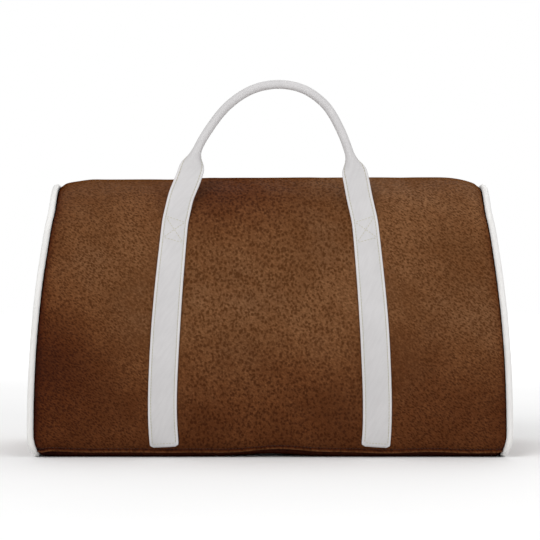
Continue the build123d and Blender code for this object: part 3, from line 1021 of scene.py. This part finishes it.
def end_panel(word, hand):
    """The soft, slightly pillowed end panel inside the piping."""
    loop, _ = end_loop(hand, 3.4 * MM, 3.2 * MM)
    middle = loop.mean(0)
    middle[2] = 0.52 * TOP_Z
    middle[0] = np.interp(middle[2], np.sort(loop[:, 2]), loop[np.argsort(loop[:, 2]), 0])
    out = end_out(hand)
    spoke = loop - middle
    share = END_RINGS[:, None]
    depth = (1 - share) * np.linalg.norm(spoke, axis=1)
    lift = 3.4 * MM * (1 - np.exp(-depth / (6 * MM))) + 4.6 * MM * (1 - share**2)
    ripple = pucker(np.cumsum(np.full(len(loop), 2.4 * MM)) * 1.3 + hand)
    lift = lift + 0.5 * MM * ripple * np.exp(-depth / (9 * MM)) * (share < 1)
    wave = np.sin(78 * spoke[:, 1] * share + hand) * np.sin(61.6 * spoke[:, 2] * share)
    lift = lift + 0.5 * MM * wave * (1 - share**6)
    outer = middle + spoke * share[..., None] + out * lift[..., None]
    inner = outer - out * LEATHER
    rings, count = outer.shape[:2]
    size = rings * count
    centres = np.stack([outer[-1].mean(0), inner[-1].mean(0)])
    points = np.concatenate([outer.reshape(-1, 3), inner.reshape(-1, 3), centres])
    last = band(count, size - count, 0)[:, :2]
    fan = np.column_stack([last, np.full(count, 2 * size)])
    groups = [
        grid_faces(rings, count, wrap_cols=True),
        grid_faces(rings, count, wrap_cols=True, flip=True) + size,
        band(count, 0, size)[:, ::-1],
        fan,
        fan[:, ::-1] + np.array([1, size, size]),
    ]
    turn = 1 if hand > 0 else -1
    faces = [face for group in groups for face in group[:, ::turn].tolist()]
    surf = vec(points[:, 1], points[:, 2], 0.5 * hand)
    # painted shade, darkest at the panel's rim by the piping
    shade = 0.75 * np.exp(-depth / (7 * MM)) + 0.12
    tone = np.concatenate([shade.ravel(), shade.ravel(), [0.12, 0.12]])
    obj = piece(f"{word}_end_skin", points, faces, BROWN, "bag", surf, tone)
    stand_in(obj, "brown_leather", f"{word}_end_panel")


def ends():
    """Both ends: pillowed panel, piping bead and its filler cord."""
    for word, hand in (("left", -1.0), ("right", 1.0)):
        end_panel(word, hand)
        bead(f"{word}_piping_bead", hand, PIPING_R, PIPING, f"{word}_piping", "piping_leather", 0.02)
        cord = f"{word}_piping_cord"
        bead(f"{cord}_core", hand, PIPING_CORD_R, CORD, cord, "filler_cord")


# ---------------------------------------------------------------- straps and handles

# The raised handle's arch: heights above the fold line, and how far out its two legs are there
ARCH_HEIGHTS = np.array([20.0, 44.0, 69.5, 96.5, 123.5, 141.0]) * MM
ARCH_LEFT = np.array([98.8, 89.2, 82.1, 67.1, 45.1, 17.4]) * MM
ARCH_RIGHT = np.array([98.9, 94.6, 87.9, 77.5, 61.0, 36.2]) * MM
ARCH_TOP = (9.5 * MM, 145.9 * MM)


def strap_x(z):
    """Distance of a sewn strap's middle from the bag's middle at height z."""
    share = np.clip((z - 60 * MM) / (FOLD_Z - 66 * MM), 0, 1.2)
    inward = FOOT_INWARD * np.clip(1 - z / (50 * MM), 0, 1) ** 2
    return FOOT_X - (FOOT_X - FOLD_X) * share**1.5 - inward


def sewn_path(hand):
    """Middle of one sewn strap on the front, from its foot to the box stitch, with its normals."""
    z = np.linspace(FOOT_Z, FOLD_Z - 9 * MM, 200)
    x = hand * strap_x(z)
    return skin_at(x, s_at_height(z), np.full(200, -1.0), 0.1 * MM + STRAP_THICK / 2)


def arch_path():
    """Middle of the free front handle from left to right, upright and tilted over the bag."""
    left = np.stack([-ARCH_LEFT, ARCH_HEIGHTS], -1)
    right = np.stack([ARCH_RIGHT, ARCH_HEIGHTS], -1)[::-1]
    knots = np.concatenate([left, [ARCH_TOP], right])
    run = lengths(knots)
    dense = np.linspace(0, run[-1], 600)
    x, height = cubic(run, knots[:, 0], dense), cubic(run, knots[:, 1], dense)
    y = -FOLD_Y + FOLD_OUT * math.cos(HANDLE_TILT) + height * math.sin(HANDLE_TILT)
    z = FOLD_Z + height * math.cos(HANDLE_TILT) - FOLD_OUT * math.sin(HANDLE_TILT)
    normal = np.array([0.0, -math.cos(HANDLE_TILT), math.sin(HANDLE_TILT)])
    return vec(x, y, z), np.tile(normal, (600, 1))


def strap_path():
    """The front strap's whole middle line, foot to foot, evenly spaced, with frames and fold weights."""
    left, left_normal = sewn_path(-1)
    right, right_normal = sewn_path(1)
    arch, arch_normal = arch_path()
    points = np.concatenate([left, arch, right[::-1]])
    normals = np.concatenate([left_normal, arch_normal, right_normal[::-1]])
    run = lengths(points)
    count = int(run[-1] / (1.9 * MM))
    where = np.linspace(0, run[-1], count)
    normals = at_lengths(points, where, normals)
    points = at_lengths(points, where)
    points = smooth_chain(points, 10)
    normals = smooth_chain(normals, 24)
    along, across, normals = chain_frames(points, normals)
    run = lengths(points)
    free = np.flatnonzero(points[:, 2] > FOLD_Z)
    fold_in, fold_out = run[free[0]], run[free[-1]]
    weight = np.minimum((run - fold_in) / FOLD_ZONE + 0.5, (fold_out - run) / FOLD_ZONE + 0.5)
    return {
        "points": points,
        "along": along,
        "across": across,
        "normal": normals,
        "run": run,
        "weight": np.clip(weight, 0, 1),
        "above": np.where(run < run[-1] / 2, run - fold_in, fold_out - run),
        "from_foot": np.minimum(run, run[-1] - run),
    }


PATH = strap_path()


def strap_sizes():
    """Width, thickness and curl angle of the strap at each step of its path."""
    hand = np.sign(PATH["points"][:, 0])
    shift = np.where(hand < 0, ROLL_SHIFT["left"], ROLL_SHIFT["right"])
    rolled = smooth((PATH["above"] - shift - ROLL_START) / (ROLL_END - ROLL_START))
    to_fold = smooth((PATH["from_foot"] - 120 * MM) / (150 * MM))
    width = FOOT_WIDTH + (FOLD_WIDTH - FOOT_WIDTH) * to_fold
    width = width + (ROLLED_WIDTH - FOLD_WIDTH) * rolled
    corner = 3.5 * MM
    short = np.clip(corner - PATH["from_foot"], 0, corner)
    width = width - 2 * (corner - np.sqrt(np.maximum(corner**2 - short**2, 0)))
    thick = STRAP_THICK * (1 - 0.25 * rolled)
    curl = rolled * 2 * math.pi * 0.975
    return width, thick, np.maximum(curl, 1e-3), rolled


WIDTH, THICK, CURL, ROLLED = strap_sizes()


def strap_local(index, offset, lift):
    """Points of the strap's cross-section: offset from its middle along the sheet, raised by lift."""
    curl = CURL[index]
    radius = WIDTH[index] / curl
    theta = offset / radius
    centre = radius * np.sin(curl / 2) / (curl / 2)
    across = (radius + lift) * np.sin(theta)
    out = (radius + lift) * np.cos(theta) - centre
    return (
        PATH["points"][index]
        + PATH["across"][index] * across[..., None]
        + PATH["normal"][index] * out[..., None]
    )


EDGE_STEPS = np.array([0, 0.12, 0.4, 0.9, 1.5, 2.1, 2.7, 3.2, 3.7, 4.3, 5.2, 7.0, 9.5, 12.5]) * MM


def strap_crown(from_edge):
    """How much the padded middle of the strap stands up."""
    return 0.25 * MM * smooth((from_edge - STITCH_IN) / (5 * MM))


def strap_surface():
    """The strap's closed cross-sections along its path, with flat coordinates and a painted highlight along
    its edges.
    """
    steps = len(PATH["run"])
    index = np.arange(steps)[:, None]
    half = WIDTH[:, None] / 2
    inward = np.minimum(EDGE_STEPS[None], half * 0.97)
    left, right = -half + inward, (half - inward)[:, ::-1]
    top = np.concatenate([left, right], axis=1)
    from_edge = np.concatenate([inward, inward[:, ::-1]], axis=1)
    round_r = 1.25 * MM
    edge = np.clip(1 - from_edge / round_r, 0, 1)
    profile = np.sqrt(np.maximum(0, 1 - edge**2))
    groove = 0.28 * MM * hump(from_edge - STITCH_IN, 0.55 * MM) * (1 - ROLLED[:, None])
    crown = strap_crown(from_edge) * (THICK[:, None] / STRAP_THICK)
    upper = THICK[:, None] / 2 * profile - groove + crown * profile
    lower = -THICK[:, None] / 2 * profile
    outer = strap_local(index, top, upper)
    under = strap_local(index, top[:, ::-1], lower[:, ::-1])
    points = np.concatenate([outer, under[:, 1:-1]], axis=1)
    run = PATH["run"][:, None]
    surf = np.concatenate([vec(run, top, 0.0), vec(run, top[:, ::-1], 0.05)[:, 1:-1]], axis=1)
    # painted highlight along the strap's rounded edges, gone where it is rolled
    edge_highlight = (1 - smooth((from_edge - 1.6 * MM) / (1.6 * MM))) * (1 - ROLLED[:, None])
    tone = np.concatenate([edge_highlight, edge_highlight[:, ::-1][:, 1:-1]], axis=1)
    return points, surf, tone


def mirror_to_back(points):
    """Front points as back points."""
    return points * np.array([1.0, -1.0, 1.0])


def fold_back(points, weight):
    """Turns back points about the back fold line by their share of the hanging angle."""
    angle = -weight * BACK_TURN
    y, z = points[..., 1] - FOLD_Y, points[..., 2] - FOLD_Z
    turned_y = y * np.cos(angle) - z * np.sin(angle)
    turned_z = y * np.sin(angle) + z * np.cos(angle)
    return vec(points[..., 0], turned_y + FOLD_Y, turned_z + FOLD_Z)


def follow_fold(obj):
    """Bakes the piece's transform into its mesh."""
    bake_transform(obj)


def place_side(points, weight, word):
    """Front points moved to their place on the front or back."""
    if word == "front":
        return points
    return fold_back(mirror_to_back(points), weight)


def straps():
    """One strap on each side: sewn up from the base, rolled into a grip, and sewn down again."""
    points, surf, tone = strap_surface()
    steps, around = points.shape[:2]
    weight = np.repeat(PATH["weight"][:, None], around, axis=1)
    cap = cap_quads(around)
    far_cap = cap[:, ::-1] + (steps - 1) * around
    faces = np.concatenate([grid_faces(steps, around, wrap_cols=True), cap, far_cap])
    for word in ("front", "back"):
        placed = place_side(points, weight, word)
        side_faces = faces if word == "front" else faces[:, ::-1]
        obj = piece(f"{word}_strap_and_grip", placed, side_faces, STRAP, None, surf, tone)
        follow_fold(obj)
        stand_in(obj, "strap_leather", f"{word}_left_strap", f"{word}_right_strap", f"{word}_handle")


def grip_cords():
    """The round cord inside each rolled grip."""
    inside = np.flatnonzero(PATH["above"] > ROLL_END)
    points = PATH["points"][inside]
    normals = PATH["normal"][inside]
    for word in ("front", "back"):
        placed = place_side(points, np.ones(len(points)), word)
        turned = place_side(points + normals * MM, np.ones(len(points)), word) - placed
        obj = tube(f"{word}_grip_core", placed, turned, GRIP_CORE_R, CORD, f"{word}_handle", False)
        stand_in(obj, "filler_cord", f"{word}_grip_cord")


def strap_spot(run, offset, lift):
    """A point on the strap at a distance along it and off its middle, found between path steps."""
    step = np.interp(run, PATH["run"], np.arange(len(PATH["run"])))
    low = np.floor(step).astype(int)
    high = np.minimum(low + 1, len(PATH["run"]) - 1)
    share = (step - low)[..., None]
    return strap_local(low, offset, lift) * (1 - share) + strap_local(high, offset, lift) * share


def strap_line(run, offset):
    """Chain of points, normals and fold weights along a line drawn on the strap's face."""
    width = np.interp(run, PATH["run"], WIDTH)
    offset = np.broadcast_to(offset(width) if callable(offset) else offset, run.shape)
    lift = np.interp(run, PATH["run"], THICK) / 2 + strap_crown(width / 2 - np.abs(offset))
    low = strap_spot(run, offset, lift - 0.05 * MM)
    high = strap_spot(run, offset, lift + 0.5 * MM)
    weight = np.interp(run, PATH["run"], PATH["weight"])
    return low, unit(high - low), weight


BOX_SKEW = 1.8 * MM
BOX_BELOW_FOLD = (32 * MM, 8.5 * MM)


def box_lines():
    """Corner to corner lines of the two box stitches, in strap coordinates."""
    first_half = slice(len(PATH["run"]) // 2)
    fold_in = np.interp(0.5, PATH["weight"][first_half], PATH["run"][first_half])
    low, high = fold_in - BOX_BELOW_FOLD[0], fold_in - BOX_BELOW_FOLD[1]
    half = FOLD_WIDTH / 2 - STITCH_IN
    corners = [
        (low + BOX_SKEW, -half),
        (high + BOX_SKEW, -half),
        (high - BOX_SKEW, half),
        (low - BOX_SKEW, half),
    ]
    mirrored = [(PATH["run"][-1] - run, offset) for run, offset in corners]
    lines = []
    for a, b, c, d in (corners, mirrored):
        lines += [(b, c), (d, a), (a, c), (b, d)]
    return lines


def strap_stitches():
    """Edge rows along the whole strap and the two crossed boxes, on both sides of the bag."""
    total = PATH["run"][-1]
    run = np.linspace(5 * MM, total - 5 * MM, 1400)
    chains = []
    for hand in (-1, 1):
        chains.append(strap_line(run, lambda width, hand=hand: hand * (width / 2 - STITCH_IN)))
    share = np.linspace(0.04, 0.96, 40)
    for (run_a, offset_a), (run_b, offset_b) in box_lines():
        chains.append(strap_line(run_a + (run_b - run_a) * share, offset_a + (offset_b - offset_a) * share))
    foot = 4.2 * MM
    half = FOOT_WIDTH / 2 - STITCH_IN - 1 * MM
    for end in (foot, total - foot):
        chains.append(strap_line(np.full(30, end), np.linspace(-half, half, 30)))
    for word in ("front", "back"):
        parts, weights = [], []
        for points, normals, weight in chains:
            made, faces = stitch_row(points, normals, 3.3 * MM, 2.6 * MM, 0.3 * MM)
            count = len(made)
            where = (np.arange(count) + 0.5) / count * lengths(points)[-1]
            parts.append((made, faces))
            weights.append(np.repeat(np.interp(where, lengths(points), weight), made.shape[1]))
        points, faces = merge(parts)
        weight = np.concatenate(weights)
        placed = place_side(points, weight, word)
        side_faces = faces if word == "front" else faces[:, ::-1]
        obj = piece(f"{word}_strap_stitches", placed, side_faces, THREAD, None, points)
        follow_fold(obj)
        stand_in(obj, "strap_leather")


# ---------------------------------------------------------------- zip

TEETH_PITCH = 2.6 * MM
TAB_STITCH = 2.2 * MM  # in from the tab's edge
TOOTH = np.array([2.05, 3.5, 2.1]) * MM  # length along the zip, reach from the middle, height


def strip_z(x):
    """Height of the zip tape's top along the bag: level, then dipping to the end seams."""
    return TAPE_HIGH.z - end_drop(x)


def zip_tapes():
    """Woven tape each side of the teeth, with a raised cord along its inner edge."""
    x = np.linspace(TAPE_LOW.x, TAPE_HIGH.x, 200)
    across = np.array([0.5, 0.9, 1.4, 2.0, 2.8, 3.6, 4.4, 5.2, 7, 9, 11, 13, 15, 16.8]) * MM
    x, across = np.meshgrid(x, across, indexing="ij")
    ridge = 0.35 * MM * hump(across - 4.3 * MM, 0.8 * MM)
    sag = 0.9 * MM * smooth((across - 12 * MM) / (5 * MM))
    for sign, word in ((-1, "front"), (1, "back")):
        top = vec(x, sign * across, strip_z(x) + ridge - sag)
        low = top - np.array([0, 0, 0.7 * MM])
        sheets = [grid[:, ::sign] for grid in (top, low, vec(x, sign * across, 0.0))]
        obj = thick_sheet(f"{word}_tape", *sheets[:2], TAPE_CLOTH, "bag", sheets[2], 0 * x)
        stand_in(obj, "zip_cloth", f"{word}_zip_tape")


def tooth_shape():
    """One tooth as a chamfered block with a nose that reaches past the middle line."""
    length, reach, height = TOOTH
    layers = []
    for z, grow in ((0.0, 0.85), (0.25, 1.0), (0.72, 1.0), (1.0, 0.66)):
        half = length / 2 * grow
        back = reach * (0.94 + 0.06 * grow)
        near = [(-half, back), (-half, 0.9 * MM), (-half * 0.55, 0.1 * MM), (-half * 0.3, -0.35 * MM)]
        around = near + [(-x, y) for x, y in near[::-1]]
        layers.append([(x, y, z * height) for x, y in around])
    points = np.array(layers)
    faces = grid_faces(4, 8, wrap_cols=True)
    caps = np.array([[0, 1, 6, 7], [1, 2, 5, 6], [2, 3, 4, 5]])
    faces = np.concatenate([faces, caps[:, ::-1], caps + 24])
    return points.reshape(-1, 3), faces


def zip_teeth():
    """Two rows of interlocked metal teeth."""
    shape, shape_faces = tooth_shape()
    count = int((TEETH_HIGH.x - TEETH_LOW.x) / TEETH_PITCH)
    for sign, word in ((-1, "front"), (1, "back")):
        x = TEETH_LOW.x + TEETH_PITCH * (np.arange(count) + (0.25 if sign < 0 else 0.75))
        places = vec(x, 0.0, TEETH_LOW.z - 0.1 * MM)
        points = shape[None] * np.array([1, sign, 1]) + places[:, None]
        offsets = np.arange(count) * len(shape)
        faces = (shape_faces[None] + offsets[:, None, None]).reshape(-1, 4)
        obj = piece(f"{word}_teeth", points, faces if sign > 0 else faces[:, ::-1], NICKEL, "bag")
        obj.data.polygons.foreach_set("use_smooth", [False] * len(obj.data.polygons))
        stand_in(obj, "zip_metal", f"{word}_zip_teeth")


def padded_tab(node, sign):
    """A leather tab over a zip end, out to the end seam: rounded plate with a stitched border."""
    low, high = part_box(node)
    inner_x, outer_x = min(abs(low.x), abs(high.x)), seam_x(TOP_Z) + 3 * MM
    half_x, half_y = (outer_x - inner_x) / 2, (high.y - low.y) / 2
    centre_x = sign * (outer_x + inner_x) / 2
    t = np.linspace(-1, 1, 40)
    ease = np.sign(t) * (1 - (1 - np.abs(t)) ** 1.5)
    a, b = np.meshgrid(ease, ease, indexing="ij")
    square = np.maximum(np.abs(a), np.abs(b))
    rounded = (np.abs(a) ** 8 + np.abs(b) ** 8) ** 0.125
    fit = square / np.maximum(rounded, 1e-6)
    x, y = centre_x + a * fit * half_x, b * fit * half_y
    rim = (1 - square) * half_y
    edge = np.clip(1 - rim / (1.2 * MM), 0, 1)
    groove = 0.25 * MM * hump(rim - TAB_STITCH, 0.5 * MM)
    rise = 1.5 * MM * np.sqrt(np.maximum(0, 1 - edge**2)) - groove + 0.12 * MM
    base = strip_z(x) + 0.15 * MM
    top = vec(x, y, base + rise)
    tone = 0.45 * np.exp(-rim / (1.5 * MM)) + 0.1
    surf = top + np.array([0, 0, sign])
    obj = thick_sheet(f"{node}_leather", top, vec(x, y, base), BROWN, "bag", surf, tone)
    stand_in(obj, "tab_leather", node)
    parts = []
    share = np.linspace(0, 1, 20)
    reach_x, reach_y = 0.98 * (half_x - TAB_STITCH), 0.98 * (half_y - TAB_STITCH)
    corners = [(-1, -1), (1, -1), (1, 1), (-1, 1), (-1, -1)]
    for (from_x, from_y), (to_x, to_y) in zip(corners, corners[1:]):
        x = centre_x + reach_x * (from_x + (to_x - from_x) * share)
        y = reach_y * (from_y + (to_y - from_y) * share)
        line = vec(x, y, strip_z(x) + 1.55 * MM)
        parts.append(stitch_row(line, np.tile([0.0, 0.0, 1.0], (20, 1)), 3.0 * MM, 2.4 * MM, 0.28 * MM))
    points, faces = merge(parts)
    stand_in(piece(f"{node}_stitches", points, faces, BROWN_THREAD, "bag"), "tab_leather")


def zip_parts():
    """Tapes, teeth and tabs; the slider, pull and stops keep their CAD shapes."""
    zip_tapes()
    zip_teeth()
    padded_tab("left_zip_tab", -1)
    padded_tab("right_zip_tab", 1)
    for node in ("zip_slider", "zip_pull", "zip_top_stops", "zip_bottom_stop"):
        wear(node, NICKEL)


def wear(node, material):
    """Gives a CAD node a material."""
    mesh = frame["nodes"][node].data
    mesh.materials.clear()
    mesh.materials.append(material)


# ---------------------------------------------------------------- inside


LINING_THICK = 0.6 * MM


def linings():
    """Cloth lining inside the leather: the two sides and the base."""
    columns = np.linspace(-0.985, 0.985, 90)
    for side, word in ((-1.0, "front"), (1.0, "back")):
        u, s = np.meshgrid(columns, np.linspace(S_SEAM - 8 * MM, S_END - 7 * MM, 90), indexing="ij")
        sides = np.full(u.shape, side)
        normal = skin_normal(u, s, sides)
        outer = skin(u, s, sides) - normal * (4.4 * MM)
        inner = outer - normal * LINING_THICK
        surf = vec(outer[..., 0], s, side)
        if side > 0:
            outer, inner, surf = outer[::-1], inner[::-1], surf[::-1]
        obj = thick_sheet(f"{word}_lining_cloth", outer, inner, LINING_CLOTH, "bag", surf, 0 * u)
        stand_in(obj, "lining_cloth", f"{word}_lining")
    u, y = np.meshgrid(columns, np.linspace(-1, 1, 40) * (HALF_DEPTH - 14 * MM), indexing="ij")
    _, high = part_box("base_lining")
    top = vec(u * high.x, y, high.z)
    under = top - np.array([0, 0, LINING_THICK])
    obj = thick_sheet("base_lining_cloth", top, under, LINING_CLOTH, "bag", top, 0 * u)
    stand_in(obj, "lining_cloth", "base_lining")


def end_linings():
    """Flat cloth across the inside of each end."""
    for word, hand in (("left", -1.0), ("right", 1.0)):
        loop, _ = end_loop(hand, 5 * MM, -2.5 * MM)
        middle = loop.mean(0)
        rings = np.linspace(1, 0.02, 12)[:, None, None]
        outer = middle + (loop - middle)[None] * rings
        inner = outer - end_out(hand) * LINING_THICK
        points = np.concatenate([outer.reshape(-1, 3), inner.reshape(-1, 3)])
        rows, count = outer.shape[:2]
        size = rows * count
        faces = np.concatenate([
            grid_faces(rows, count, wrap_cols=True),
            grid_faces(rows, count, wrap_cols=True, flip=True) + size,
            band(count, 0, size)[:, ::-1],
            band(count, size - count, 2 * size - count),
        ])
        turn = 1 if hand > 0 else -1
        surf = points[:, [1, 2, 0]]
        obj = piece(f"{word}_end_lining_cloth", points, faces[:, ::turn], LINING_CLOTH, "bag", surf)
        stand_in(obj, "lining_cloth", f"{word}_end_lining")


# ---------------------------------------------------------------- stage


CAMERA_PLACE = (0.0, -2.0, 0.207)
CAMERA_LENS = 114.3
LIGHT_AIM = Vector((0, 0, 0.18))
LIGHTS = (
    # name, place, watts, size
    ("key", (-1.2, -2.2, 2.3), 36, 1.6),
    ("fill", (1.8, -1.9, 1.2), 14, 1.8),
    ("top", (0.1, 0.5, 2.6), 13, 2.0),
    ("rim", (0.6, 2.4, 1.6), 8, 1.6),
)
WHITE = (1.0, 1.0, 1.0, 1.0)
BACKDROP_LIGHT = 0.58
FLOOR_HALF = 6.0


def floor():
    """Pale floor that glows with distance, so that it melts into the backdrop."""
    paint = Paint("floor")
    place = paint.node("TexCoord", 3)
    tint = paint.mix(paint.ramp(paint.noise(place, 1.5), 0.3, 0.7), (0.95, 0.95, 0.95), (0.97, 0.97, 0.97))
    distance = paint.node("VectorMath", 1, {"operation": "LENGTH"}, Vector=place)
    paint.put(paint.shader.inputs["Emission Color"], WHITE)
    paint.put(paint.shader.inputs["Emission Strength"], paint.ramp(distance, 0.5, 3.0, 0.0, 0.5))
    corners = [(-1, -1, 0), (1, -1, 0), (1, 1, 0), (-1, 1, 0)]
    material = paint.finish(tint, 0.85, specular=0.1)
    piece("floor", np.array(corners) * FLOOR_HALF, [[0, 1, 2, 3]], material)


def backdrop():
    """White world behind the bag that lights it more softly than it looks."""
    world = bpy.data.worlds.new("studio")
    bpy.context.scene.world = world
    world.use_nodes = True
    nodes, links = world.node_tree.nodes, world.node_tree.links
    seen, light = nodes["Background"], nodes.new("ShaderNodeBackground")
    seen.inputs[0].default_value = WHITE
    light.inputs[0].default_value = WHITE
    light.inputs[1].default_value = BACKDROP_LIGHT
    path, choose = nodes.new("ShaderNodeLightPath"), nodes.new("ShaderNodeMixShader")
    links.new(path.outputs["Is Camera Ray"], choose.inputs[0])
    links.new(light.outputs[0], choose.inputs[1])
    links.new(seen.outputs[0], choose.inputs[2])
    links.new(choose.outputs[0], nodes["World Output"].inputs[0])


def area_light(name, place, watts, width):
    """A square soft light aimed at the bag."""
    light = bpy.data.lights.new(name, "AREA")
    light.energy = watts
    light.size = width
    obj = bpy.data.objects.new(name, light)
    obj.location = place
    obj.rotation_euler = (LIGHT_AIM - Vector(place)).to_track_quat("-Z", "Y").to_euler()
    bpy.context.scene.collection.objects.link(obj)


def camera():
    """A level camera straight in front of the bag."""
    camera_data = bpy.data.cameras.new("camera")
    camera_data.lens = CAMERA_LENS
    obj = bpy.data.objects.new("camera", camera_data)
    obj.location = CAMERA_PLACE
    obj.rotation_euler = (math.radians(90), 0, 0)
    bpy.context.scene.collection.objects.link(obj)
    bpy.context.scene.camera = obj


def studio():
    """Floor, backdrop, lights and camera."""
    floor()
    backdrop()
    for light in LIGHTS:
        area_light(*light)
    camera()
    bpy.context.scene.view_settings.view_transform = "Standard"


side_panels()
base_skin()
hem_stitches()
ends()
straps()
strap_stitches()
grip_cords()
zip_parts()
linings()
end_linings()
wear("base_board", BOARD)
studio()
